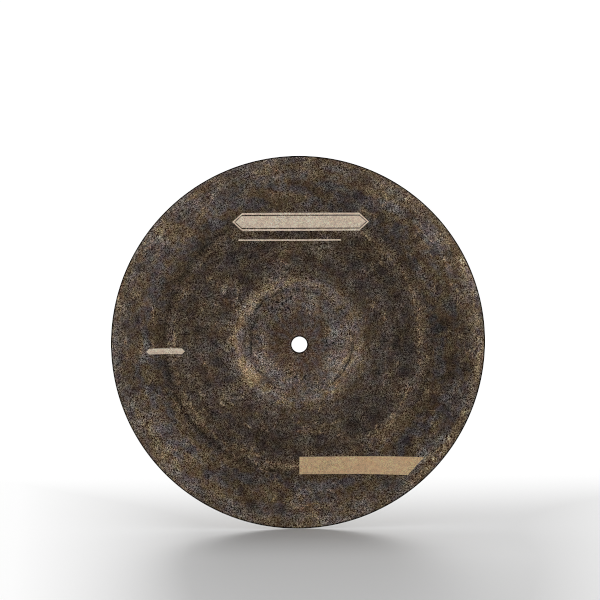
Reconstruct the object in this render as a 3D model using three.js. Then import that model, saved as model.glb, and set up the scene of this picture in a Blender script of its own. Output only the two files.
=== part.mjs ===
// A 12 inch china cymbal: one shell of hammered bronze, thinner towards its rim.
// Millimetres, +Z up. The cymbal stands on its rim, its axis lies along Y and its bell points to -Y.
// The origin is the centre of the post hole, level with the outer felt seat.
import * as THREE from "three";

// Diameters, from the hole outwards
const postHoleDiameter = 12.7;
const feltSeatDiameter = 20;
const crownDiameter = 48;
const shoulderDiameter = 82;
const bellDiameter = 110;
const bendDiameter = 214;
const rimDiameter = 304.8;

// Depths along the axis: the crown, the shoulder and the foot of the bell below the felt seat,
// then the bow below the bell, and the flange back up
const crownDrop = 1.2;
const shoulderDrop = 11;
const bellHeight = 18.7;
const bowDrop = 6;
const flangeRise = 16;

// Slopes of the profile against a flat plate. The flange turns back towards the bell's side.
const crownEdgeDegrees = 11;
const wallEndDegrees = 30;
const flareStartDegrees = 24;
const bowTopDegrees = 8;
const bowEdgeDegrees = 5;
const flangeStartDegrees = -4;
const flangeRimDegrees = -32;

// The two creases are rounded over this much of the radius
const shoulderCreaseWidth = 2;
const bendCreaseWidth = 5;

// Sheet thickness, which the hammer and the lathe leave uneven
const sheetAtBell = 1;
const sheetAtBend = 0.65;
const sheetAtRim = 0.55;

// Hammer marks on the bow and the flange
const hammerMarkDiameter = 20;
const hammerMarkPitch = 15;
const hammerRowPitch = 11;
const hammerMarkDepth = 0.35;
const hammerWander = 3;
const hammerShallowestShare = 0.45;
const hammerSeed = 12;

// Facets: how many round the bell and the bow, and how many along each stretch of the profile
const segmentsRoundBell = 60;
const segmentsRoundBow = 120;
const stepsAlongCrown = 2;
const stepsAlongWall = 4;
const stepsAlongCrease = 2;
const stepsAlongFlare = 4;
const stepsAlongBow = 7;
const stepsAlongFlange = 7;

const handleShare = 1 / 3;
const holeRadius = postHoleDiameter / 2;
const seatRadius = feltSeatDiameter / 2;
const bellRadius = bellDiameter / 2;
const bendRadius = bendDiameter / 2;
const rimRadius = rimDiameter / 2;
const bendDepth = bellHeight + bowDrop;
// At the rim the inner face reaches further out than the outer one, because the flange slopes
const rimOverhang = sheetAtRim * Math.sin(THREE.MathUtils.degToRad(-flangeRimDegrees));

function slopeOf(degrees) {
  return Math.tan(THREE.MathUtils.degToRad(degrees));
}

// A place on the profile: x is the radius and y the depth below the felt seat
function place(radius, depth) {
  return new THREE.Vector2(radius, depth);
}

// The two ends of the rounding where the profile turns from one slope to another at a corner
function crease(corner, slopeIn, slopeOut, width) {
  const reach = width / 2;
  return {
    start: place(corner.x - reach, corner.y - reach * slopeIn),
    end: place(corner.x + reach, corner.y + reach * slopeOut),
  };
}

// A stretch of the profile that leaves one place and reaches the next at given slopes
function stretch(start, end, slopeIn, slopeOut, steps, segments) {
  const handle = (end.x - start.x) * handleShare;
  const leaving = place(start.x + handle, start.y + handle * slopeIn);
  const arriving = place(end.x - handle, end.y - handle * slopeOut);
  return { curve: new THREE.CubicBezierCurve(start, leaving, arriving, end), steps, segments };
}

function profileStretches() {
  const crownEdge = place(crownDiameter / 2, crownDrop);
  const crownSlope = slopeOf(crownEdgeDegrees);
  const wallSlope = slopeOf(wallEndDegrees);
  const flareSlope = slopeOf(flareStartDegrees);
  const bowTopSlope = slopeOf(bowTopDegrees);
  const bowEdgeSlope = slopeOf(bowEdgeDegrees);
  const flangeSlope = slopeOf(flangeStartDegrees);
  const corner = place(shoulderDiameter / 2, shoulderDrop);
  const shoulder = crease(corner, wallSlope, flareSlope, shoulderCreaseWidth);
  const bend = crease(place(bendRadius, bendDepth), bowEdgeSlope, flangeSlope, bendCreaseWidth);
  const seatEdge = place(seatRadius, 0);
  const foot = place(bellRadius, bellHeight);
  const rim = place(rimRadius - rimOverhang, bendDepth - flangeRise);
  const round = segmentsRoundBell;
  const wide = segmentsRoundBow;
  return [
    stretch(place(holeRadius, 0), seatEdge, 0, 0, 1, round),
    stretch(seatEdge, crownEdge, 0, crownSlope, stepsAlongCrown, round),
    stretch(crownEdge, shoulder.start, crownSlope, wallSlope, stepsAlongWall, round),
    stretch(shoulder.start, shoulder.end, wallSlope, flareSlope, stepsAlongCrease, round),
    stretch(shoulder.end, foot, flareSlope, bowTopSlope, stepsAlongFlare, round),
    stretch(foot, bend.start, bowTopSlope, bowEdgeSlope, stepsAlongBow, wide),
    stretch(bend.start, bend.end, bowEdgeSlope, flangeSlope, stepsAlongCrease, wide),
    stretch(bend.end, rim, flangeSlope, slopeOf(flangeRimDegrees), stepsAlongFlange, wide),
  ];
}

// One ring of facets: where it is, which way its outer face looks, and how many segments it has
function ringAt(curve, share, segments) {
  const spot = curve.getPoint(share);
  const along = curve.getTangent(share);
  return { radius: spot.x, depth: spot.y, outward: new THREE.Vector2(along.y, -along.x), segments };
}

function profileRings() {
  const rings = [];
  for (const { curve, steps, segments } of profileStretches()) {
    if (rings.length === 0) {
      rings.push(ringAt(curve, 0, segments));
    }
    for (let step = 1; step <= steps; step += 1) {
      rings.push(ringAt(curve, step / steps, segments));
    }
  }
  return rings;
}

function sheetAt(radius) {
  if (radius < bendRadius) {
    const share = THREE.MathUtils.smoothstep(radius, bellRadius, bendRadius);
    return THREE.MathUtils.lerp(sheetAtBell, sheetAtBend, share);
  }
  const share = (radius - bendRadius) / (rimRadius - bendRadius);
  return THREE.MathUtils.lerp(sheetAtBend, sheetAtRim, share);
}

function wander() {
  return (THREE.MathUtils.seededRandom() * 2 - 1) * hammerWander;
}

// Rows of hammer marks that fill the band between two radii and stay inside it
function marksInBand(innerRadius, outerRadius) {
  const marks = [];
  const first = innerRadius + hammerMarkDiameter / 2;
  const last = outerRadius - hammerMarkDiameter / 2;
  const gaps = Math.max(1, Math.round((last - first) / hammerRowPitch));
  for (let row = 0; row <= gaps; row += 1) {
    const radius = THREE.MathUtils.lerp(first, last, row / gaps);
    const count = Math.round((2 * Math.PI * radius) / hammerMarkPitch);
    const turn = THREE.MathUtils.seededRandom();
    for (let index = 0; index < count; index += 1) {
      const angle = ((index + turn) / count) * 2 * Math.PI;
      const depth = THREE.MathUtils.lerp(hammerShallowestShare, 1, THREE.MathUtils.seededRandom());
      marks.push({
        x: radius * Math.cos(angle) + wander(),
        z: radius * Math.sin(angle) + wander(),
        depth: depth * hammerMarkDepth,
      });
    }
  }
  return marks;
}

function allHammerMarks() {
  THREE.MathUtils.seededRandom(hammerSeed);
  const clearOfEdge = hammerWander + bendCreaseWidth / 2;
  const bow = marksInBand(bellRadius + hammerWander, bendRadius - clearOfEdge);
  const flange = marksInBand(bendRadius + clearOfEdge, rimRadius - hammerWander);
  return bow.concat(flange);
}

const hammerMarks = allHammerMarks();

// How far the hammer has pushed the sheet in at a place on the disc
function dentAt(x, z) {
  let dent = 0;
  for (const mark of hammerMarks) {
    const away = Math.hypot(x - mark.x, z - mark.z) / (hammerMarkDiameter / 2);
    if (away < 1) {
      const bowl = (1 - away * away) * (1 - away * away);
      dent = Math.max(dent, mark.depth * bowl);
    }
  }
  return dent;
}

// The points of one ring, set back from the outer face by a dent and, on the inner face, by the sheet
function ringPoints(ring, setback) {
  const points = [];
  for (let index = 0; index < ring.segments; index += 1) {
    const angle = (index / ring.segments) * 2 * Math.PI;
    const dent = dentAt(ring.radius * Math.cos(angle), ring.radius * Math.sin(angle));
    const radius = ring.radius - ring.outward.x * (dent + setback);
    const depth = ring.depth - ring.outward.y * (dent + setback);
    points.push(new THREE.Vector3(radius * Math.cos(angle), depth, radius * Math.sin(angle)));
  }
  return points;
}

// Facets between two rings that have as many segments as each other
function evenStrip(inner, outer, count) {
  const facets = [];
  for (let index = 0; index < count; index += 1) {
    const next = (index + 1) % count;
    if (index % 2 === 0) {
      facets.push([inner + index, outer + index, outer + next], [inner + index, outer + next, inner + next]);
    } else {
      facets.push([inner + index, outer + index, inner + next], [inner + next, outer + index, outer + next]);
    }
  }
  return facets;
}

// Facets between a ring and the next one out, which has twice as many segments
function doublingStrip(inner, outer, count) {
  const facets = [];
  for (let index = 0; index < count; index += 1) {
    const next = (index + 1) % count;
    const middle = outer + 2 * index + 1;
    const far = outer + 2 * next;
    facets.push([inner + index, outer + 2 * index, middle], [inner + index, middle, inner + next]);
    facets.push([inner + next, middle, far]);
  }
  return facets;
}

function flipped(facets) {
  return facets.map(([a, b, c]) => [a, c, b]);
}

// Numbers the points of every ring on one face and joins each ring to the next
function faceOfShell(rings, setbackOf, points) {
  const starts = [];
  for (const ring of rings) {
    starts.push(points.length);
    points.push(...ringPoints(ring, setbackOf(ring.radius)));
  }
  const facets = [];
  for (let index = 1; index < rings.length; index += 1) {
    const count = rings[index - 1].segments;
    const strip = rings[index].segments === count ? evenStrip : doublingStrip;
    facets.push(...strip(starts[index - 1], starts[index], count));
  }
  return { facets, starts };
}

function shellGeometry() {
  const rings = profileRings();
  const points = [];
  const outer = faceOfShell(rings, () => 0, points);
  const inner = faceOfShell(rings, sheetAt, points);
  const last = rings.length - 1;
  const facets = [
    ...outer.facets,
    ...flipped(inner.facets),
    ...flipped(evenStrip(outer.starts[0], inner.starts[0], rings[0].segments)),
    ...evenStrip(outer.starts[last], inner.starts[last], rings[last].segments),
  ];
  const geometry = new THREE.BufferGeometry().setFromPoints(points);
  geometry.setIndex(facets.flat());
  geometry.computeVertexNormals();
  return geometry;
}

const agedBronze = new THREE.MeshStandardMaterial({ color: 0x463b31, roughness: 0.55, metalness: 0.9 });

const cymbal = new THREE.Mesh(shellGeometry(), agedBronze);
cymbal.name = "cymbal";

const group = new THREE.Group();
group.add(cymbal);

export default group;
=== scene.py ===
"""A 12 inch china cymbal with a dark hammered patina, standing on its rim on a pale floor."""
import math

import bpy
import numpy as np
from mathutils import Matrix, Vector


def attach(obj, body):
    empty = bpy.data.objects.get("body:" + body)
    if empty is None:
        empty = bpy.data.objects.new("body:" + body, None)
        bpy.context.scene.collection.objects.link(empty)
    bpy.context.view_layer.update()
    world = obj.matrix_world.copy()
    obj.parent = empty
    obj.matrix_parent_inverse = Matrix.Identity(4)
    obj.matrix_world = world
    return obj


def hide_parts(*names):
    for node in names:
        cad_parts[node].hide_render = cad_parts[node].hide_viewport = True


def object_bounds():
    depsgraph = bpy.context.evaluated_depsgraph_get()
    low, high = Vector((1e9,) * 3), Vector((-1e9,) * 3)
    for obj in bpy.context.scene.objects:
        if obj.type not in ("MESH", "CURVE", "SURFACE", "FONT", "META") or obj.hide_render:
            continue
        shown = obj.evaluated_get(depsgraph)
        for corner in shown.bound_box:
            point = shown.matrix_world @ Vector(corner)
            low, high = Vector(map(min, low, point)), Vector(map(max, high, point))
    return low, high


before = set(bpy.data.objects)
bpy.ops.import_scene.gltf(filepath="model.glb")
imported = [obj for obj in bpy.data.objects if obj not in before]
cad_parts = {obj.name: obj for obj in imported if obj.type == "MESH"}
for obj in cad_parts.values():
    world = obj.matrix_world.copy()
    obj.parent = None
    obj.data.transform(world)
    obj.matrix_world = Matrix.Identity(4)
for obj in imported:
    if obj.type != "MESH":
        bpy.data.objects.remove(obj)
cad_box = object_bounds()

# Sizes of the metal in millimetres, as in the solid. Depths run along +Y, away from the felt seat.
MM = 0.001
rim_radius = cad_box[1].x / MM
hole_radius = 6.35
seat_radius = 10
crown_radius = 24
shoulder_radius = 41
bell_radius = 55
bend_radius = 107
crown_depth = 1.2
shoulder_depth = 11
bell_depth = 18.7
bend_depth = 24.7
rim_depth = 8.7
crown_edge_degrees = 11
wall_end_degrees = 30
flare_start_degrees = 24
bow_top_degrees = 8
bow_edge_degrees = 5
flange_start_degrees = -4
flange_rim_degrees = -32
shoulder_crease_width = 2
bend_crease_width = 5
sheet_at_bell = 1
sheet_at_bend = 0.65
sheet_at_rim = 0.55
edge_round = 0.2
rim_overhang = sheet_at_rim * math.sin(math.radians(-flange_rim_degrees))

# Halfway from the bell to the rim, where lumps that are stretched along the ring have their full length
ring_middle = (bell_radius + rim_radius) / 2

# How finely the metal is divided
segments_round = 512
steps_along_seat = 1
steps_along_crown = 8
steps_along_wall = 14
steps_along_crease = 4
steps_along_flare = 12
steps_along_bow = 23
steps_along_flange = 26
steps_across_edge = 4

# Hammer blows in rows round the cymbal, in millimetres
broad_blows = {"across": 20, "pitch": 15, "row_pitch": 11, "depth": 0.35, "stray": 3}
small_blows = {"across": 10, "pitch": 7.5, "row_pitch": 6, "depth": 0.12, "stray": 2.5}
weakest_blow_share = 0.45
blow_seed = 12

# Faint rings that the lathe left on the bell
lathe_ring_pitch = 4.6
lathe_ring_height = 0.05

# The texture map holds the two faces as two discs, set corner to corner in the square
disc_share = 0.288
disc_margin = 3


def slope_of(degrees):
    return math.tan(math.radians(degrees))


def crease(radius, depth, slope_in, slope_out, width):
    """The two ends of the rounding where the profile turns from one slope to another at a corner."""
    reach = width / 2
    return (radius - reach, depth - reach * slope_in), (radius + reach, depth + reach * slope_out)


def stretch(start, end, slope_in, slope_out, steps):
    """Radius, depth and slope at even steps along the cubic that joins two places at given slopes."""
    share = np.linspace(0, 1, steps + 1)
    run = end[0] - start[0]
    rise = end[1] - start[1]
    eased = share * share * (3 - 2 * share)
    leaving = share * (1 - share) ** 2
    arriving = share * share * (share - 1)
    depth = start[1] + rise * eased + run * (slope_in * leaving + slope_out * arriving)
    slope = rise / run * 6 * share * (1 - share)
    slope += slope_in * (1 - share) * (1 - 3 * share)
    slope += slope_out * share * (3 * share - 2)
    return np.column_stack([start[0] + run * share, depth, slope])


def outer_profile():
    """The outer face from the hole to the rim: one row of radius, depth and slope for each ring."""
    crown_slope = slope_of(crown_edge_degrees)
    wall_slope = slope_of(wall_end_degrees)
    flare_slope = slope_of(flare_start_degrees)
    bow_top_slope = slope_of(bow_top_degrees)
    bow_edge_slope = slope_of(bow_edge_degrees)
    flange_slope = slope_of(flange_start_degrees)
    shoulder = crease(shoulder_radius, shoulder_depth, wall_slope, flare_slope, shoulder_crease_width)
    bend = crease(bend_radius, bend_depth, bow_edge_slope, flange_slope, bend_crease_width)
    crown_edge = (crown_radius, crown_depth)
    foot = (bell_radius, bell_depth)
    rim = (rim_radius - rim_overhang - edge_round, rim_depth)
    stretches = [
        stretch((hole_radius + edge_round, 0), (seat_radius, 0), 0, 0, steps_along_seat),
        stretch((seat_radius, 0), crown_edge, 0, crown_slope, steps_along_crown),
        stretch(crown_edge, shoulder[0], crown_slope, wall_slope, steps_along_wall),
        stretch(shoulder[0], shoulder[1], wall_slope, flare_slope, steps_along_crease),
        stretch(shoulder[1], foot, flare_slope, bow_top_slope, steps_along_flare),
        stretch(foot, bend[0], bow_top_slope, bow_edge_slope, steps_along_bow),
        stretch(bend[0], bend[1], bow_edge_slope, flange_slope, steps_along_crease),
        stretch(bend[1], rim, flange_slope, slope_of(flange_rim_degrees), steps_along_flange),
    ]
    return np.vstack([stretches[0]] + [rings[1:] for rings in stretches[1:]])


def sheet_at(radius):
    """Thickness of the sheet, which tapers from the bell to the rim."""
    share = np.clip((radius - bell_radius) / (bend_radius - bell_radius), 0, 1)
    inside = sheet_at_bell + (sheet_at_bend - sheet_at_bell) * share * share * (3 - 2 * share)
    outside = np.interp(radius, [bend_radius, rim_radius], [sheet_at_bend, sheet_at_rim])
    return np.where(radius < bend_radius, inside, outside)


def hammer_marks(blows, inner_radius, outer_radius, random):
    """Places and depths of blows in rows that fill the band between two radii and stay inside it."""
    first = inner_radius + blows["stray"] + blows["across"] / 2
    last = outer_radius - blows["stray"] - blows["across"] / 2
    rows = max(1, round((last - first) / blows["row_pitch"])) + 1
    marks = []
    for radius in np.linspace(first, last, rows):
        count = round(2 * math.pi * radius / blows["pitch"])
        angle = (np.arange(count) + random.random()) / count * 2 * math.pi
        x = radius * np.cos(angle) + random.uniform(-1, 1, count) * blows["stray"]
        z = radius * np.sin(angle) + random.uniform(-1, 1, count) * blows["stray"]
        depth = blows["depth"] * random.uniform(weakest_blow_share, 1, count)
        marks.append(np.column_stack([x, z, depth]))
    return np.vstack(marks)


def dents(x, z, marks, across):
    """How far the deepest blow has pushed the sheet in at each place."""
    dent = np.zeros_like(x)
    for mark_x, mark_z, depth in marks:
        away = np.hypot(x - mark_x, z - mark_z) / (across / 2)
        near = away < 1
        bowl = (1 - away[near] ** 2) ** 2
        dent[near] = np.maximum(dent[near], bowl * depth)
    return dent


def relief(x, z):
    """How far hammer and lathe set the metal back, and how deep the broad blows are as a share."""
    random = np.random.default_rng(blow_seed)
    hollows = []
    for blows in (broad_blows, small_blows):
        bow = hammer_marks(blows, bell_radius, bend_radius - bend_crease_width / 2, random)
        flange = hammer_marks(blows, bend_radius + bend_crease_width / 2, rim_radius, random)
        hollows.append(dents(x, z, np.vstack([bow, flange]), blows["across"]))
    radius = np.hypot(x, z)
    bell_ends = [seat_radius, crown_radius, shoulder_radius, bell_radius]
    on_bell = np.interp(radius, bell_ends, [0, 1, 1, 0])
    wave = (1 - np.cos(2 * math.pi * radius / lathe_ring_pitch)) / 2
    setback = sum(hollows) + lathe_ring_height * on_bell * wave
    return setback, hollows[0] / broad_blows["depth"]


def round_edge(start, end):
    """Places that round the sheet's edge off, from the end of one face to the end of the other."""
    middle = (start + end) / 2
    half = (start - end) / 2
    bulge = np.array([-half[1], half[0]]) / np.linalg.norm(half) * edge_round
    turns = np.linspace(0, math.pi, steps_across_edge + 1)[1:-1]
    return np.array([middle + half * math.cos(turn) + bulge * math.sin(turn) for turn in turns])


def turned(places, angles, shift=None):
    """Turns places on the section into rings of points, each shifted in radius and depth."""
    radius, depth = np.broadcast_to(places.T[:, :, None], (2, len(places), len(angles)))
    if shift is not None:
        radius, depth = radius + shift[0], depth + shift[1]
    return np.stack([radius * np.cos(angles), depth, radius * np.sin(angles)], axis=-1)


def unrolled(section, rim_end, hole_end, past_rim, past_hole):
    """Radius of each ring on a face's disc in the texture map; the edges unroll past the face's ends."""
    radius = section[:, 0].copy()
    radius[past_rim] = rim_end[0] + np.linalg.norm(section[past_rim] - rim_end, axis=1)
    radius[past_hole] = hole_end[0] - np.linalg.norm(section[past_hole] - hole_end, axis=1)
    return radius


def map_places(map_radius, angles, is_inner):
    """Places on the texture map for rings of a face, mirrored on the inner face."""
    scale = disc_share / (rim_radius + disc_margin)
    across = map_radius * np.cos(angles) * scale
    up = map_radius * np.sin(angles) * scale
    centre = np.where(is_inner, 1 - disc_share, disc_share)
    return np.stack([centre + np.where(is_inner, -across, across), centre + up], axis=-1)


def sheet_faces():
    """Places on the section along the outer and the inner face, and the direction out of the metal."""
    radius, depth, slope = outer_profile().T
    outward = np.stack([slope, -np.ones_like(slope)]) / np.hypot(1, slope)
    outer = np.column_stack([radius, depth])
    inner = outer - (outward * sheet_at(radius)).T
    return outer, inner, outward


def sheet_points(outer, rim_edge, inner, hole_edge, outward):
    """Points in metres, ring by ring round the section, and how deep the broad blows are at each."""
    angles = np.arange(segments_round) / segments_round * 2 * math.pi
    radius = outer[:, :1]
    setback, hollow = relief(radius * np.cos(angles), radius * np.sin(angles))
    shift = -outward[:, :, None] * setback
    points = np.concatenate([
        turned(outer, angles, shift),
        turned(rim_edge, angles),
        turned(inner, angles, shift)[::-1],
        turned(hole_edge, angles),
    ])
    low, high = (np.array(corner) / MM for corner in cad_box)
    smooth_edge = np.zeros((len(rim_edge), segments_round))
    hollows = np.concatenate([hollow, smooth_edge, hollow[::-1], smooth_edge])
    return np.clip(points, low, high) * MM, hollows


def face_map(section, outer, inner, corner_ring, is_inner):
    """Radius on the texture map for the corners of each face."""
    edge_rings = (len(section) - len(outer) - len(inner)) // 2
    past_rim = slice(len(outer), len(outer) + edge_rings)
    past_hole = slice(len(section) - edge_rings, len(section))
    outer_map = unrolled(section, outer[-1], outer[0], past_rim, past_hole)
    inner_map = unrolled(section, inner[-1], inner[0], past_rim, past_hole)
    return np.where(is_inner, inner_map[corner_ring], outer_map[corner_ring])


def cymbal_mesh():
    """The whole sheet as one closed mesh of rings, with its texture map and a material for each face."""
    outer, inner, outward = sheet_faces()
    rim_edge = round_edge(outer[-1], inner[-1])
    hole_edge = round_edge(inner[0], outer[0])
    section = np.concatenate([outer, rim_edge, inner[::-1], hole_edge])
    points, hollows = sheet_points(outer, rim_edge, inner, hole_edge, outward)

    ring = np.arange(len(section))[:, None, None]
    segment = np.arange(segments_round)[None, :, None]
    corner_ring = (ring + np.array([0, 1, 1, 0])) % len(section)
    corner_segment = segment + np.array([0, 0, 1, 1])
    faces = corner_ring * segments_round + corner_segment % segments_round

    half_edge = steps_across_edge // 2
    is_inner = (ring >= len(outer) - 1 + half_edge) & (ring < len(section) - half_edge)
    map_radius = face_map(section, outer, inner, corner_ring, is_inner)
    places = map_places(map_radius, corner_segment / segments_round * 2 * math.pi, is_inner)
    inner_faces = np.broadcast_to(is_inner, faces.shape[:2] + (1,)).astype(int)

    mesh = bpy.data.meshes.new("cymbal_sheet")
    mesh.from_pydata(points.reshape(-1, 3).tolist(), [], faces.reshape(-1, 4).tolist())
    mesh.attributes.new("hollow", "FLOAT", "POINT").data.foreach_set("value", hollows.ravel())
    mesh.uv_layers.new(name="OFBake").data.foreach_set("uv", places.ravel())
    mesh.polygons.foreach_set("material_index", inner_faces.ravel())
    mesh.polygons.foreach_set("use_smooth", np.ones(len(mesh.polygons), bool))
    mesh.validate()
    return mesh


# What the noise nodes give on average, and the share of an oval patch's reach that its core takes up
noise_middle = 0.5
oval_core_share = 0.2


class Nodes:
    """Adds nodes to a material or world. Each method returns the socket that its nodes end in."""

    def __init__(self, owner):
        owner.use_nodes = True
        self.tree = owner.node_tree

    def add(self, kind, inputs, **settings):
        node = self.tree.nodes.new("ShaderNode" + kind)
        for name, value in settings.items():
            setattr(node, name, value)
        for key, value in inputs.items():
            self.feed(node.inputs[key], value)
        return node

    def feed(self, socket, value):
        if isinstance(value, bpy.types.NodeSocket):
            self.tree.links.new(value, socket)
        else:
            socket.default_value = value

    def math(self, operation, *values):
        return self.add("Math", dict(enumerate(values)), operation=operation).outputs[0]

    def vector(self, operation, *values):
        node = self.add("VectorMath", dict(enumerate(values)), operation=operation)
        return node.outputs["Value" if operation in ("LENGTH", "DOT_PRODUCT") else "Vector"]

    def total(self, *values):
        result = values[0]
        for value in values[1:]:
            result = self.math("ADD", result, value)
        return result

    def product(self, *values):
        result = values[0]
        for value in values[1:]:
            result = self.math("MULTIPLY", result, value)
        return result

    def rise(self, value, start, end):
        """0 below start, 1 above end and smooth between; start may be the higher one."""
        inputs = {"Value": value, "From Min": start, "From Max": end}
        return self.add("MapRange", inputs, interpolation_type="SMOOTHSTEP").outputs[0]

    def run(self, value, start, end):
        """0 at start, 1 at end, straight between them and level outside."""
        return self.add("MapRange", {"Value": value, "From Min": start, "From Max": end}).outputs[0]

    def blend(self, share, first, second):
        inputs = {0: share, 6: first, 7: second}
        return self.add("Mix", inputs, data_type="RGBA").outputs[2]

    def field(self, place, size, octaves=0):
        """Smooth random variation about zero, from about -0.5 to 0.5, with lumps of the given size."""
        inputs = {"Vector": place, "Scale": 1 / size, "Detail": octaves}
        return self.math("SUBTRACT", self.add("TexNoise", inputs).outputs[0], noise_middle)

    def scaled(self, vector, factor):
        return self.add("VectorMath", {0: vector, "Scale": factor}, operation="SCALE").outputs["Vector"]

    def brightened(self, colour, stops):
        return self.scaled(colour, self.math("POWER", 2.0, stops))

    def ring_field(self, ring, size, stretch, octaves=0):
        """Random variation like field's, in lumps that are stretched along the ring."""
        outward, radius, seed_shift = ring
        around = self.scaled(outward, ring_middle / (size * stretch))
        across = self.add("CombineXYZ", {"Y": self.product(radius, 1 / size)}).outputs[0]
        return self.field(self.vector("ADD", self.vector("ADD", around, across), seed_shift), 1, octaves)

    def steps(self, value, stops):
        """Straight lines between stops of position, from 0 to 1, and level, which can't lie below 0."""
        node = self.add("ValToRGB", {0: value})
        elements = node.color_ramp.elements
        while len(elements) < len(stops):
            elements.new(1)
        for element, (position, level) in zip(elements, stops):
            element.position = position
            element.color = (level, level, level, 1)
        return node.outputs[0]

    def oval(self, place, middle, half_size, turn):
        """1 in the core of an oval patch and 0 at its edge. Unturned, half_size runs along x and z."""
        inputs = {
            "Vector": place,
            "Location": (middle[0], 0, middle[1]),
            "Rotation": (0, -turn, 0),
            "Scale": (half_size[0], 1, half_size[1]),
        }
        local = self.add("Mapping", inputs, vector_type="TEXTURE").outputs[0]
        return self.rise(self.vector("LENGTH", local), 1, oval_core_share)

    def line(self, value, width):
        """1 where the value is zero, falling to 0 at half the width on both sides."""
        return self.rise(self.math("ABSOLUTE", value), width / 2, 0)


# Colours of the metal's surface, as linear light
brown_patina = (0.0698, 0.0513, 0.0387, 1)
blue_patina = (0.0616, 0.0528, 0.0507, 1)
gold_patina = (0.0754, 0.0494, 0.0255, 1)
bright_bronze = (0.97, 0.72, 0.475, 1)
pale_bronze = (0.95, 0.80, 0.67, 1)
darkest = (0.0020, 0.0017, 0.0015)
brown_hue_share = 0.5

# How far the patina is worn away, as shares, negative where it lies thicker than usual. Each row has a
# radius of the metal, how far outside that radius the row lies in millimetres, and the share.
worn_zone_shares = [
    (hole_radius, 0, 0.42),
    (crown_radius, -2, 0.44),
    (crown_radius, 3, 0.60),
    (crown_radius, 9, 0.78),
    (shoulder_radius, -3, 0.74),
    (shoulder_radius, 2, 0.76),
    (shoulder_radius, 6, 1.08),
    (bell_radius, -5, 1.04),
    (bell_radius, -2, 0.76),
    (bell_radius, 2, 0.22),
    (bell_radius, 15, 0.02),
    (bell_radius, 21, 0.10),
    (bell_radius, 28, -0.14),
    (bend_radius, -8, -0.04),
    (bend_radius, -4, 0.18),
    (bend_radius, 0.5, -0.16),
    (bend_radius, 5, -0.10),
    (bend_radius, 12, 0.24),
    (rim_radius, -20, 0.48),
    (rim_radius, -6, 0.50),
    (rim_radius, 0, 0.68),
]
# Hue of each zone, from blue at 0 through brown at a half to gold at 1, in rows of the same kind
zone_hue_shares = [
    (hole_radius, 0, 0.70),
    (crown_radius, 0, 0.66),
    (crown_radius, 6, 0.48),
    (shoulder_radius, 0, 0.46),
    (shoulder_radius, 5, 0.62),
    (bell_radius, 0, 0.62),
    (bell_radius, 20, 0.62),
    (bend_radius, -10, 0.72),
    (bend_radius, -4, 0.86),
    (bend_radius, 2, 0.84),
    (bend_radius, 12, 0.60),
    (rim_radius, 0, 0.62),
]
# How strong the grain is in each zone, in rows of the same kind
grain_zone_shares = [
    (crown_radius, -2, 0.70),
    (crown_radius, 3, 0.96),
    (shoulder_radius, 3, 1.06),
    (bell_radius, 0, 1.02),
    (bell_radius, 5, 0.94),
    (bell_radius, 25, 1.04),
    (bend_radius, 0, 1.14),
    (bend_radius, 8, 0.86),
    (rim_radius, -22, 0.88),
    (rim_radius, -6, 1.12),
]
# Lifts the worn shares while they are read, because a colour ramp cuts off levels below 0
worn_lift_share = 0.2
wear_stops = 1.25
# The centre of the zones, and how far their borders wander and fray
zone_centre = (-0.5, 0, 0.5)
zone_wander_size, zone_wander = 16, 6
zone_fray_size, zone_fray = 3, 3.5
# The dark line at the metal's edges
edge_band = 1.3
edge_stops = -3.2

# Variation of the patina. A size is in millimetres, a stretch is how much longer the lumps are along the
# ring, and stops or a swing say how much the full range of the noise makes.
patch_size, patch_stops = 30, 1.0
blotch_size, blotch_stretch, blotch_stops = 6, 1.7, 0.7
mottle_size, mottle_stops, disc_mottle_share = 3.2, 0.45, 0.3
# A blow leaves a dark spot where it is deeper than these shares of the deepest one, faint and then full
spot_shares = (0.40, 0.90)
spot_stops = -0.68
# The grain swings as it does on a display. It has the skin's own colour, paler by its gamma.
grain_size, grain_swing = 0.45, 2.35
grain_patch_size, grain_patch_swing = 12, 1.8
display_gamma = 2.2
grain_gamma, grain_share = 0.545, 0.263
# Specks that are rubbed bright where the patina is worn
rub_size, rub_threshold, rub_softness, rub_stops = 0.6, 0.17, 0.08, 1.1
hue_patch_size, hue_patch_stretch, hue_patch_swing = 9, 2.0, 0.45
hue_blotch_size, hue_blotch_swing = 5, 0.34
hue_edge = 0.14
hue_of_tone = 0.20
# Streaks that the lathe left, and the unevenness that the light catches
streak_size, streak_stretch, streak_stops, streak_hue = 1.5, 20, 0.7, 0.2
grain_depth = 0.015
lump_depth = 0.10
patina_metallic = 0.85
matt_roughness = 0.50
roughness_swing, roughness_octaves = 0.35, 3
outer_seed_shift = (0, 0, 0)
inner_seed_shift = (730, 0, 410)

# How bold the patches of hue are in each zone, and where one zone fades into the next
bell_hue_share = 0.6
bow_hue_share = 0.45
rim_hue_share = 0.65
hue_bell_end = (bell_radius - 2, bell_radius + 4)
hue_flange_start = (bend_radius, bend_radius + 8)
hue_rim_start = (rim_radius - 25, rim_radius - 12)

# How far the skin swings towards green, or with a minus towards purple, and where
green_size, green_swing_share, green_of_tone = 6, 0.35, 0.06
rim_green_share = 0.015
disc_green_share = -0.08
disc_green_end = (crown_radius + 3, crown_radius - 3)
ring_green_share = 0.035
ring_hue_shares = (0.3, 0.7)
ring_radius, ring_reach = 49, 10

# Where the streaks of the lathe start and end on the bell, and how strong they are on the flange
streak_bell_start = (crown_radius - 2, crown_radius + 4)
streak_bell_end = (bell_radius + 4, bell_radius - 2)
streak_flange_start = (bend_radius, bend_radius + 12)
flange_streak_share = 0.35

# Thin lines where the patina's stain dried, and the levels of noise between which they fade in
line_size, line_stretch, line_octaves, line_width = 12, 2.5, 3, 0.05
line_stops, line_hue = 1.2, 0.3
line_patch_edge = (-0.05, 0.08)
line_break_edge = (-0.10, 0.10)

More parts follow.
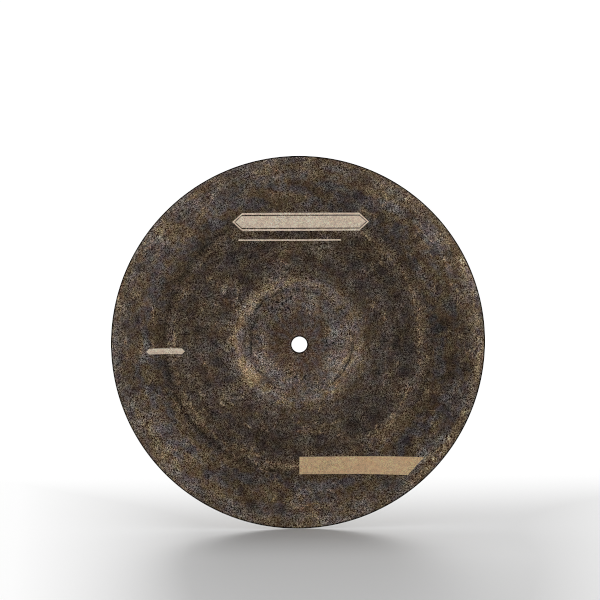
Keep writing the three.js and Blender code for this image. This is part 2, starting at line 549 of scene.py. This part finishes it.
# Arcs on the outer face in millimetres: x and z of the centre, radius, width, degrees from +x towards +z
# that the arc is strongest at, share of the circle that it reaches round, stops of brightness, and hue
outer_arcs_and_painted_highlight = [
    (1.9, 0.4, 41.7, 1.8, 90, 1.0, -1.1, -0.1),
    (1.0, 1.0, 44.0, 6.0, 118, 0.22, -0.7, -0.6),
    (-1.2, 1.0, 49.6, 5.0, 140, 0.34, 0.35, 0.9),
    (1.5, 3.3, 43.5, 2.0, -5, 0.28, -1.4, 0.0),
    (1.5, 3.3, 45.4, 2.0, -20, 0.24, 0.5, 0.5),
    (0.0, 0.0, 39.0, 2.4, 178, 0.18, -1.6, 0.0),
    (-1.0, 2.0, 42.0, 2.0, 135, 0.14, -1.4, 0.0),
    (0.5, 0.0, 43.0, 1.6, -40, 0.12, -0.9, 0.0),
    (0.0, 1.0, 47.5, 6.0, -88, 0.20, -0.1, -0.9),
    (0.0, 0.0, 33.0, 4.0, 75, 0.22, 0.25, -0.2),
    (0.0, 0.0, 24.5, 2.0, 150, 0.24, -0.5, 0.0),
    (0.0, 0.0, 108.5, 5.0, 190, 0.42, -0.75, 0.0),
    (0.0, 0.0, 109.5, 6.0, 216, 0.12, -0.55, 0.0),
    (0.0, 0.0, 110.5, 3.5, 10, 0.30, -0.45, -0.2),
    # This last arc is a painted highlight: a bright gold band along the rim on the right, where the
    # turned-up edge catches the light.
    (0.0, 0.0, 148.0, 8.0, -6, 0.24, 0.50, 0.9),
]

# The broken golden line that runs round just inside the bend, how far it wanders and frays, and the levels
# of noise between which its breaks end
gold_line_radius, gold_line_width, gold_line_stops, gold_line_hue = 101.5, 4.5, 0.95, 0.7
gold_line_wander, gold_line_fray = 9, 4.5
gold_line_edge = (-0.04, 0.10)

# Patches on the outer face in millimetres: x and z of the middle, half size along and across the ring,
# stops of brightness, and hue from about -1 for blue to 1 for gold
outer_patches_and_painted_light = [
    # The first two patches are painted light: they brighten the lower part of the face as if it reflected
    # the bright floor.
    (-88, -88, 80, 38, 0.55, 0.0),
    (12, -124, 75, 38, 0.55, 0.1),
    (-85, 85, 60, 16, 0.25, 0.0),
    (85, 85, 50, 15, -0.30, 0.0),
    (77, -77, 36, 12, 0.95, 0.4),
    (88, 0, 34, 16, -0.45, 0.0),
    (0, -97, 46, 20, 0.45, 0.1),
    (62, -62, 30, 12, -0.25, 0.0),
    (62, 62, 30, 12, -0.20, 0.0),
    (-75, 75, 34, 8, -0.40, 0.0),
    (-40, 2, 28, 14, -0.60, 0.0),
    (-24, -24, 14, 8, -0.30, 0.0),
    (0, -39, 24, 15, 0.22, 0.0),
    (36, -36, 16, 8, 0.20, 0.3),
    (16, 2, 12, 8, 0.15, -0.2),
    (130, 5, 62, 26, -0.50, 0.0),
    (-138, 0, 50, 16, -0.20, 0.0),
    (30, 117, 62, 14, -0.35, 0.0),
    (0, 78, 50, 22, 0.30, 0.2),
    (-82, -5, 50, 22, 0.15, 0.1),
    (-38, -26, 18, 9, 0.70, 1.1),
    (-24, -38, 7, 5, 0.30, 0.8),
    (27, 27, 13, 5, -0.40, -0.4),
    (-33, 3, 14, 7, -0.45, 0.1),
    (-10, -14, 10, 9, -0.25, 0.7),
    (11, 12, 10, 9, 0.10, -0.6),
    (30, -32, 10, 6, 0.40, 0.8),
    (35, 41, 8, 6, 0.30, 0.8),
    (-34, 32, 30, 7, 0.20, 0.5),
    (22, 0, 9, 7, 0.00, -1.2),
    (31, 11, 9, 7, 0.00, -1.1),
    (43, 0, 20, 12, -0.45, 0.0),
    (-22, -27, 11, 8, 0.00, -0.8),
    (29, -22, 13, 9, 0.30, -0.3),
    (-15, -2, 10, 8, -0.25, 0.9),
    (59, 28, 6, 6, 0.20, 0.5),
    (-60, -50, 6, 4, 0.50, 0.2),
    (-53, -100, 18, 8, 0.25, 0.8),
    (-57, -108, 16, 7, -0.15, -1.2),
    (-111, -73, 8, 7, 0.15, -0.9),
    (-76, -92, 8, 7, 0.20, 0.8),
    (-67, -83, 9, 7, -0.70, -0.3),
    (-103, -95, 14, 8, 0.55, 0.1),
    (-67, -119, 18, 9, 0.45, 0.0),
    (-69, 103, 13, 9, 0.55, -1.0),
    (-50, 114, 12, 7, 0.35, -0.7),
    (-108, 80, 12, 8, 0.05, -0.9),
    (-97, 92, 8, 7, 0.10, 0.8),
    (-127, 31, 8, 6, 0.25, 0.9),
    (-78, 78, 9, 5, -0.60, -0.4),
    (104, 20, 20, 5, 0.25, 0.6),
    (116, 11, 9, 8, -0.60, -0.9),
    (114, 34, 9, 6, -0.55, -0.5),
    (118, -31, 7, 6, -0.30, -1.0),
    (146, 4, 22, 6, 0.20, 0.4),
]
patch_wander, patch_wander_octaves = 7, 2

# How the arcs wander and fade out at their ends, and the levels of noise between which their breaks end
arc_wander_size, arc_wander, arc_fade = 9, 3, 0.15
arc_break_edge = (-0.20, 0.08)

# Areas of black pits on the outer face: x and z of the middle, and half size along and across the ring
pit_areas = [(26, 3, 10, 10), (-15, 31, 17, 8), (-2, -26, 12, 5)]
pit_size, pit_stretch, pit_threshold, pit_softness, pit_stops = 2.6, 2.5, 0.13, 0.04, -5

# Fine scratches on the outer face: x and z of both ends in millimetres
outer_scratches = [
    (-84, -43, -72, -44),
    (-65, -49, -56, -55),
    (-106, -54, -92, -46),
    (100, -58, 122, -57),
    (122, -57, 129, -63),
    (-17, -62, -21, -75),
    (-119, 31, -117, 20),
]
scratch_width = 1.4
scratch_stops = 1.5

# Bars of bare bronze on the outer face, in millimetres: x and z of the middle, length, height, how far the
# right end leans for each millimetre up, and how far both ends come to a point
plain_bars = [
    (49, -102.6, 95.5, 14.8, 0.93, 0),
    (-6.5, 83.2, 84, 1.6, 0, 0),
    (-108, -7.5, 32, 5, 0, 1.1),
]
lined_bar = (2.5, 98, 112, 15, 0, 1.1)
# A dark line runs round inside the lined bar, between these depths from its outline
bar_line_start, bar_line_end = 1.6, 2.5
bar_softness = 0.35
bar_grain_stops = 0.3
bar_edge_band, bar_edge_stops = 1.2, 0.1
bar_roughness = 0.8
# The bars above this height are of the paler bronze
pale_from_z = -60
pale_softness = 1


def bar_depth(nodes, x, z, bar):
    """How far inside a bar a place lies, in millimetres; below zero outside it."""
    middle_x, middle_z, length, height, lean, point = bar
    across = nodes.math("SUBTRACT", z, middle_z)
    along = nodes.math("SUBTRACT", x, middle_x)
    from_middle = nodes.math("ABSOLUTE", across)
    half = nodes.math("SUBTRACT", length / 2, nodes.product(from_middle, point))
    right = nodes.math("SUBTRACT", nodes.total(half, nodes.product(across, lean)), along)
    left = nodes.total(half, along)
    ends = nodes.math("MINIMUM", left, right)
    return nodes.math("MINIMUM", ends, nodes.math("SUBTRACT", height / 2, from_middle))


def bare_share(nodes, flat):
    """1 on the bare bars, and 1 at their outline, where the metal is brightest."""
    parts = nodes.add("SeparateXYZ", {"Vector": flat})
    x, z = parts.outputs["X"], parts.outputs["Z"]
    lined = bar_depth(nodes, x, z, lined_bar)
    depth = lined
    for bar in plain_bars:
        depth = nodes.math("MAXIMUM", depth, bar_depth(nodes, x, z, bar))
    in_line = nodes.rise(lined, bar_line_start, bar_line_start + bar_softness)
    past_line = nodes.rise(lined, bar_line_end, bar_line_end + bar_softness)
    line = nodes.math("SUBTRACT", in_line, past_line)
    bare = nodes.math("SUBTRACT", nodes.rise(depth, 0, bar_softness), line)
    return bare, nodes.rise(depth, bar_edge_band, 0)


def placed_patches(nodes, flat, place, ring):
    """Stops of brightness and hue from the patches and pits of the outer face, with ragged outlines. Two
    broad patches low on the face are painted light, as if the bright floor were reflected there.
    """
    inputs = {"Vector": place, "Scale": 1 / blotch_size, "Detail": patch_wander_octaves}
    wander = nodes.add("TexNoise", inputs).outputs["Color"]
    centred = nodes.vector("SUBTRACT", wander, (noise_middle, noise_middle, noise_middle))
    ragged = nodes.vector("MULTIPLY_ADD", centred, (2 * patch_wander, 0, 2 * patch_wander), flat)
    tone, hue, pitted = 0.0, 0.0, 0.0
    for x, z, along, across, stops, patch_hue in outer_patches_and_painted_light:
        share = nodes.oval(ragged, (x, z), (across, along), math.atan2(z, x))
        tone = nodes.total(tone, nodes.product(share, stops))
        hue = nodes.total(hue, nodes.product(share, patch_hue / 2))
    for x, z, along, across in pit_areas:
        pitted = nodes.total(pitted, nodes.oval(ragged, (x, z), (across, along), math.atan2(z, x)))
    pit_noise = nodes.ring_field(ring, pit_size, pit_stretch)
    pits = nodes.rise(pit_noise, pit_threshold, pit_threshold + pit_softness)
    return nodes.total(tone, nodes.product(pits, pitted, pit_stops)), hue


def placed_scratches(nodes, flat):
    """Stops of brightness from the scratches."""
    tone = 0.0
    for start_x, start_z, end_x, end_z in outer_scratches:
        middle = ((start_x + end_x) / 2, (start_z + end_z) / 2)
        half_length = math.hypot(end_x - start_x, end_z - start_z) / 2
        turn = math.atan2(end_z - start_z, end_x - start_x)
        share = nodes.oval(flat, middle, (half_length, scratch_width / 2), turn)
        tone = nodes.total(tone, nodes.product(share, scratch_stops))
    return tone


def placed_arcs(nodes, flat, place):
    """Stops of brightness and hue from the broken arcs on the bell, in the bend and along the rim, where
    one arc is a painted highlight.
    """
    tone, hue = 0.0, 0.0
    broken = nodes.rise(nodes.field(place, blotch_size, 1), *arc_break_edge)
    wander = nodes.product(nodes.field(place, arc_wander_size, 1), arc_wander)
    for x, z, arc_radius, width, degrees, reach, stops, arc_hue in outer_arcs_and_painted_highlight:
        from_centre = nodes.vector("SUBTRACT", flat, (x, 0, z))
        away = nodes.total(nodes.vector("LENGTH", from_centre), wander)
        off_arc = nodes.math("SUBTRACT", away, arc_radius)
        towards = (math.cos(math.radians(degrees)), 0, math.sin(math.radians(degrees)))
        facing = nodes.vector("DOT_PRODUCT", nodes.vector("NORMALIZE", from_centre), towards)
        ends = math.cos(math.pi * reach)
        near = nodes.rise(facing, ends - arc_fade, ends + arc_fade)
        share = nodes.product(nodes.line(off_arc, width), near, broken)
        tone = nodes.total(tone, nodes.product(share, stops))
        hue = nodes.total(hue, nodes.product(share, arc_hue / 2))
    return tone, hue


def gold_line(nodes, place, radius):
    """The broken golden line that runs round just inside the bend."""
    wander = nodes.total(
        nodes.product(nodes.field(place, patch_size, 1), gold_line_wander),
        nodes.product(nodes.field(place, mottle_size, 1), gold_line_fray),
    )
    off_line = nodes.math("SUBTRACT", nodes.total(radius, wander), gold_line_radius)
    broken = nodes.rise(nodes.field(place, hue_blotch_size, 1), *gold_line_edge)
    return nodes.product(nodes.line(off_line, gold_line_width), broken)


def zoned(nodes, share, rows, lift=0):
    """The level that rows of radius, offset and level give at a share of the rim's radius."""
    stops = [((radius + offset) / rim_radius, level + lift) for radius, offset, level in rows]
    return nodes.steps(share, stops)


def rings_of_wear(nodes, flat, place):
    """Wear and hue by distance from the centre, and 1 at the metal's edges."""
    radius = nodes.vector("LENGTH", nodes.vector("SUBTRACT", flat, zone_centre))
    wander = nodes.total(
        nodes.product(nodes.field(place, zone_wander_size, 1), zone_wander),
        nodes.product(nodes.field(place, zone_fray_size), zone_fray),
    )
    share = nodes.math("DIVIDE", nodes.total(radius, wander), rim_radius)
    lifted = zoned(nodes, share, worn_zone_shares, worn_lift_share)
    worn = nodes.math("SUBTRACT", lifted, worn_lift_share)
    hue = zoned(nodes, share, zone_hue_shares)
    true_radius = nodes.vector("LENGTH", flat)
    at_rim = nodes.rise(true_radius, rim_radius - edge_band, rim_radius - edge_band / 2)
    at_hole = nodes.rise(true_radius, hole_radius + edge_band, hole_radius + edge_band / 2)
    return worn, hue, nodes.total(at_rim, at_hole)


def tide_lines(nodes, ring, place):
    """Thin broken lines where the patina's stain dried."""
    contour = nodes.line(nodes.ring_field(ring, line_size, line_stretch, line_octaves), line_width)
    here = nodes.rise(nodes.field(place, patch_size, 1), *line_patch_edge)
    broken = nodes.rise(nodes.field(place, mottle_size, 1), *line_break_edge)
    return nodes.product(contour, here, broken)


def patches_of_hue(nodes, ring, place):
    """Patches of gold and blue with clear edges, boldest on the flange and faintest on the bow."""
    broad = nodes.run(nodes.ring_field(ring, hue_patch_size, hue_patch_stretch), -hue_edge, hue_edge)
    small = nodes.run(nodes.field(place, hue_blotch_size), -hue_edge, hue_edge)
    radius = ring[1]
    on_flange = nodes.rise(radius, *hue_flange_start)
    off_bell = nodes.rise(radius, *hue_bell_end)
    near_rim = nodes.run(radius, *hue_rim_start)
    strength = nodes.total(
        bell_hue_share,
        nodes.product(off_bell, bow_hue_share - bell_hue_share),
        nodes.product(on_flange, 1 - bow_hue_share),
        nodes.product(near_rim, rim_hue_share - 1),
    )
    mixed = nodes.total(
        nodes.product(nodes.math("SUBTRACT", broad, noise_middle), 2 * hue_patch_swing),
        nodes.product(nodes.math("SUBTRACT", small, noise_middle), 2 * hue_blotch_swing),
    )
    return nodes.product(mixed, strength)


def lathe_streaks(nodes, ring):
    """Fine streaks along the ring, strongest on the bell and weak on the flange."""
    radius = ring[1]
    on_bell = nodes.product(nodes.rise(radius, *streak_bell_start), nodes.rise(radius, *streak_bell_end))
    on_flange = nodes.product(nodes.rise(radius, *streak_flange_start), flange_streak_share)
    streaks = nodes.ring_field(ring, streak_size, streak_stretch, 1)
    return nodes.product(streaks, nodes.total(on_bell, on_flange))


def grain_of(nodes, place, radius):
    """The fine grain: light and dark crystals, which stand out more in some places than in others."""
    cells = nodes.add("TexVoronoi", {"Vector": place, "Scale": 1 / grain_size}).outputs["Color"]
    cell = nodes.add("SeparateColor", {"Color": cells}).outputs[0]
    patchy = nodes.product(nodes.field(place, grain_patch_size, 1), grain_patch_swing)
    by_zone = zoned(nodes, nodes.product(radius, 1 / rim_radius), grain_zone_shares)
    strength = nodes.total(1.0, patchy)
    return nodes.product(nodes.math("SUBTRACT", cell, noise_middle), grain_swing, strength, by_zone)


def green_tint(nodes, place, radius, hue, middling):
    """A factor on the green light of the skin, for its swing towards green or purple."""
    in_disc = nodes.run(radius, *disc_green_end)
    on_ring = nodes.line(nodes.math("SUBTRACT", radius, ring_radius), 2 * ring_reach)
    green = nodes.total(
        1.0,
        nodes.product(nodes.field(place, green_size), green_swing_share),
        nodes.product(middling, green_of_tone),
        nodes.product(nodes.run(radius, bend_radius, rim_radius), rim_green_share),
        nodes.product(in_disc, nodes.run(hue, 0, 1), disc_green_share),
        nodes.product(on_ring, nodes.run(hue, *ring_hue_shares), ring_green_share),
    )
    return nodes.add("CombineXYZ", {"X": 1.0, "Y": green, "Z": 1.0}).outputs[0]


def skin_colour(nodes, place, radius, hue, grain, middling, tone):
    """The patina's colour for its hue and grain, brightened by the given stops."""
    cool = nodes.blend(nodes.run(hue, 0, brown_hue_share), blue_patina, brown_patina)
    skin = nodes.blend(nodes.run(hue, brown_hue_share, 1), cool, gold_patina)
    level = nodes.math("MAXIMUM", nodes.total(1.0, grain), 0.0)
    grain_light = nodes.math("SUBTRACT", nodes.math("POWER", level, display_gamma), 1.0)
    skin = nodes.vector("MULTIPLY", skin, green_tint(nodes, place, radius, hue, middling))
    grain_colour = nodes.add("Gamma", {"Color": skin, "Gamma": grain_gamma}).outputs[0]
    crystals = nodes.scaled(grain_colour, nodes.product(grain_light, grain_share))
    return nodes.vector("MAXIMUM", nodes.brightened(nodes.vector("ADD", skin, crystals), tone), darkest)


def skin_variation(nodes, flat, place, ring, mottle):
    """The small swings of brightness alone, then all stops of brightness, then the hue."""
    radius = ring[1]
    worn, zone_hue, at_edge = rings_of_wear(nodes, flat, place)
    hollow = nodes.add("Attribute", {}, attribute_name="hollow").outputs["Fac"]
    rubbed = nodes.rise(nodes.field(place, rub_size), rub_threshold, rub_threshold + rub_softness)
    tides = tide_lines(nodes, ring, place)
    streaks = lathe_streaks(nodes, ring)
    golden = gold_line(nodes, place, radius)
    middling = nodes.total(
        nodes.product(nodes.ring_field(ring, blotch_size, blotch_stretch, 1), blotch_stops),
        nodes.product(mottle, mottle_stops),
        nodes.product(nodes.rise(hollow, *spot_shares), spot_stops),
    )
    tone = nodes.total(
        middling,
        nodes.product(worn, wear_stops),
        nodes.product(nodes.field(place, patch_size, 1), patch_stops),
        nodes.product(rubbed, worn, rub_stops),
        nodes.product(tides, line_stops),
        nodes.product(streaks, streak_stops),
        nodes.product(at_edge, edge_stops),
        nodes.product(golden, gold_line_stops),
    )
    hue = nodes.total(
        zone_hue,
        patches_of_hue(nodes, ring, place),
        nodes.product(middling, hue_of_tone),
        nodes.product(tides, line_hue),
        nodes.product(streaks, streak_hue),
        nodes.product(golden, gold_line_hue),
    )
    return middling, tone, hue


def with_bars(nodes, flat, colour, rough, grain, mottle):
    """The skin's colour and roughness with the bare bars laid over it."""
    bare, bar_edge = bare_share(nodes, flat)
    bar_tone = nodes.total(
        nodes.product(grain, bar_grain_stops),
        nodes.product(bar_edge, bar_edge_stops),
        nodes.product(mottle, bar_grain_stops),
    )
    height = nodes.add("SeparateXYZ", {"Vector": flat}).outputs["Z"]
    is_high = nodes.rise(height, pale_from_z, pale_from_z + pale_softness)
    metal = nodes.blend(is_high, bright_bronze, pale_bronze)
    colour = nodes.blend(bare, colour, nodes.brightened(metal, bar_tone))
    return colour, nodes.total(rough, nodes.product(bare, bar_roughness - matt_roughness))


def patina(name, seed_shift, is_outer):
    """The dark skin of the bronze: zones of wear, patches of colour, hammered spots and fine grain, with
    some painted light and a painted highlight on the outer face.
    """
    material = bpy.data.materials.new(name)
    nodes = Nodes(material)
    spot = nodes.add("TexCoord", {}).outputs["Object"]
    place = nodes.vector("MULTIPLY_ADD", spot, (1 / MM, 1 / MM, 1 / MM), seed_shift)
    flat = nodes.vector("MULTIPLY", spot, (1 / MM, 0, 1 / MM))
    radius = nodes.vector("LENGTH", flat)
    ring = (nodes.vector("NORMALIZE", flat), radius, seed_shift)

    grain = grain_of(nodes, place, radius)
    off_disc = nodes.run(radius, crown_radius, bell_radius)
    mottle = nodes.product(nodes.field(place, mottle_size), nodes.total(disc_mottle_share, off_disc))
    middling, tone, hue = skin_variation(nodes, flat, place, ring, mottle)
    if is_outer:
        patch_tone, patch_hue = placed_patches(nodes, flat, place, ring)
        arc_tone, arc_hue = placed_arcs(nodes, flat, place)
        tone = nodes.total(tone, patch_tone, arc_tone, placed_scratches(nodes, flat))
        hue = nodes.total(hue, patch_hue, arc_hue)

    colour = skin_colour(nodes, place, radius, hue, grain, middling, tone)
    uneven = nodes.product(nodes.field(place, blotch_size, roughness_octaves), roughness_swing)
    rough = nodes.total(matt_roughness, uneven)
    if is_outer:
        colour, rough = with_bars(nodes, flat, colour, rough, grain, mottle)

    shader = nodes.tree.nodes["Principled BSDF"]
    nodes.feed(shader.inputs["Base Color"], colour)
    shader.inputs["Metallic"].default_value = patina_metallic
    nodes.feed(shader.inputs["Roughness"], rough)
    lumps = nodes.add("Bump", {"Height": mottle, "Distance": lump_depth * MM})
    fine = nodes.add("Bump", {"Height": grain, "Distance": grain_depth * MM, "Normal": lumps.outputs[0]})
    nodes.feed(shader.inputs["Normal"], fine.outputs[0])
    return material


def add_object(name, data):
    made = bpy.data.objects.new(name, data)
    bpy.context.scene.collection.objects.link(made)
    return made


def make_cymbal():
    mesh = cymbal_mesh()
    mesh.materials.append(patina("aged_bronze_outer", outer_seed_shift, True))
    mesh.materials.append(patina("aged_bronze_inner", inner_seed_shift, False))
    cymbal = add_object("cymbal_sheet", mesh)
    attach(cymbal, "root")
    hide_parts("cymbal")


# The studio, in metres
floor_radius = 12
floor_corners = 96
floor_white = (0.80, 0.80, 0.80, 1)
floor_roughness = 0.6
glow_strength = 1.02
glow_start, glow_end = 0.9, 1.6
# A lane of the floor along Y, under the cymbal, takes the shadow. The floor beside the lane, behind the
# cymbal and a little in front of it glows by itself. The lane's middle and half width change along +Y.
lane_middle, lane_middle_per_metre = 0.05, 0.074
lane_half_width, lane_half_width_per_metre = 0.13, 0.11
lane_edge_width = 0.15
beside_glow_share = 0.88
behind_start, behind_end = 0.02, 0.33
front_start, front_end, front_glow_share = -0.03, -0.12, 0.12
seen_sky_strength = 1.05
sky_strength = 1
sky_side_colour = (0.62, 0.62, 0.62, 1)
sky_front_colour = (0.22, 0.22, 0.22, 1)
sky_front_start, sky_front_end = 0.35, 0.95
camera_azimuth = -3.3
camera_elevation = 5.2
camera_distance = 2.2
camera_aim = (0.0005, 0, 0.0362)
camera_focal_mm = 163.3
camera_far_limit = 100
# One lamp behind the cymbal, which throws its shadow towards the viewer
key_place = (0.0, 1.5, 0.42)
key_target = (0, 0, 0)
key_size = (1.4, 0.5)
key_watts = 9


def floor_glow_share(nodes, spot):
    """How much of the floor's surface is plain white light, from 0 to 1."""
    parts = nodes.add("SeparateXYZ", {"Vector": spot})
    x, y = parts.outputs["X"], parts.outputs["Y"]
    middle = nodes.total(nodes.product(y, lane_middle_per_metre), lane_middle)
    half_width = nodes.total(nodes.product(y, lane_half_width_per_metre), lane_half_width)
    from_middle = nodes.math("ABSOLUTE", nodes.math("SUBTRACT", x, middle))
    past_lane = nodes.math("SUBTRACT", from_middle, half_width)
    beside = nodes.product(nodes.run(past_lane, 0, lane_edge_width), beside_glow_share)
    front = nodes.product(nodes.run(y, front_start, front_end), front_glow_share)
    behind = nodes.rise(y, behind_start, behind_end)
    far = nodes.rise(nodes.vector("LENGTH", spot), glow_start, glow_end)
    near = nodes.math("MAXIMUM", beside, front)
    return nodes.math("MAXIMUM", nodes.math("MAXIMUM", near, behind), far)


def floor_surface():
    material = bpy.data.materials.new("floor_white")
    nodes = Nodes(material)
    shader = nodes.tree.nodes["Principled BSDF"]
    shader.inputs["Base Color"].default_value = floor_white
    shader.inputs["Roughness"].default_value = floor_roughness
    glow = nodes.add("Emission", {"Color": (1, 1, 1, 1), "Strength": glow_strength})
    share = floor_glow_share(nodes, nodes.add("TexCoord", {}).outputs["Object"])
    mixed = nodes.add("MixShader", {0: share, 1: shader.outputs[0], 2: glow.outputs[0]})
    nodes.feed(nodes.tree.nodes["Material Output"].inputs["Surface"], mixed.outputs[0])
    return material


def make_floor():
    """A wide pale floor, in shade in front of the cymbal and plain white light far from it."""
    turns = np.linspace(0, 2 * math.pi, floor_corners, endpoint=False)
    corners = [(floor_radius * math.cos(turn), floor_radius * math.sin(turn), 0) for turn in turns]
    mesh = bpy.data.meshes.new("floor")
    mesh.from_pydata(corners, [], [range(len(corners))])
    floor = add_object("floor", mesh)
    floor.location.z = cad_box[0].z
    mesh.materials.append(floor_surface())


def make_world():
    """White behind the cymbal for the camera, and a softer sky for what lights it."""
    world = bpy.data.worlds.new("studio")
    bpy.context.scene.world = world
    nodes = Nodes(world)
    seen = nodes.add("Background", {"Color": (1, 1, 1, 1), "Strength": seen_sky_strength})
    direction = nodes.add("TexCoord", {}).outputs["Generated"]
    facing = nodes.vector("DOT_PRODUCT", direction, (0, -1, 0))
    frontness = nodes.rise(facing, sky_front_start, sky_front_end)
    level = nodes.blend(frontness, sky_side_colour, sky_front_colour)
    sky = nodes.add("Background", {"Color": level, "Strength": sky_strength})
    is_camera = nodes.add("LightPath", {}).outputs["Is Camera Ray"]
    mixed = nodes.add("MixShader", {0: is_camera, 1: sky.outputs[0], 2: seen.outputs[0]})
    nodes.feed(nodes.tree.nodes["World Output"].inputs["Surface"], mixed.outputs[0])


def aimed(direction):
    return direction.to_track_quat("-Z", "Y").to_euler()


def make_light(name, place, target, size, watts):
    light = bpy.data.lights.new(name, "AREA")
    light.shape = "RECTANGLE"
    light.size, light.size_y = size
    light.energy = watts
    lamp = add_object(name, light)
    lamp.location = place
    lamp.rotation_euler = aimed(Vector(target) - Vector(place))
    lamp.visible_camera = False


def make_camera():
    azimuth = math.radians(camera_azimuth)
    elevation = math.radians(camera_elevation)
    flat = math.cos(elevation)
    back = Vector((math.sin(azimuth) * flat, -math.cos(azimuth) * flat, math.sin(elevation)))
    camera = add_object("camera", bpy.data.cameras.new("camera"))
    camera.location = Vector(camera_aim) + back * camera_distance
    camera.rotation_euler = aimed(-back)
    camera.data.lens = camera_focal_mm
    camera.data.clip_end = camera_far_limit
    bpy.context.scene.camera = camera


make_cymbal()
make_floor()
make_world()
make_light("key_behind", key_place, key_target, key_size, key_watts)
make_camera()
bpy.context.scene.view_settings.view_transform = "Standard"
bpy.context.scene.cycles.pixel_filter_type = "BOX"
bpy.context.scene.cycles.filter_width = 1.0
bpy.context.scene.cycles.denoising_prefilter = "NONE"

bpy.context.view_layer.update()
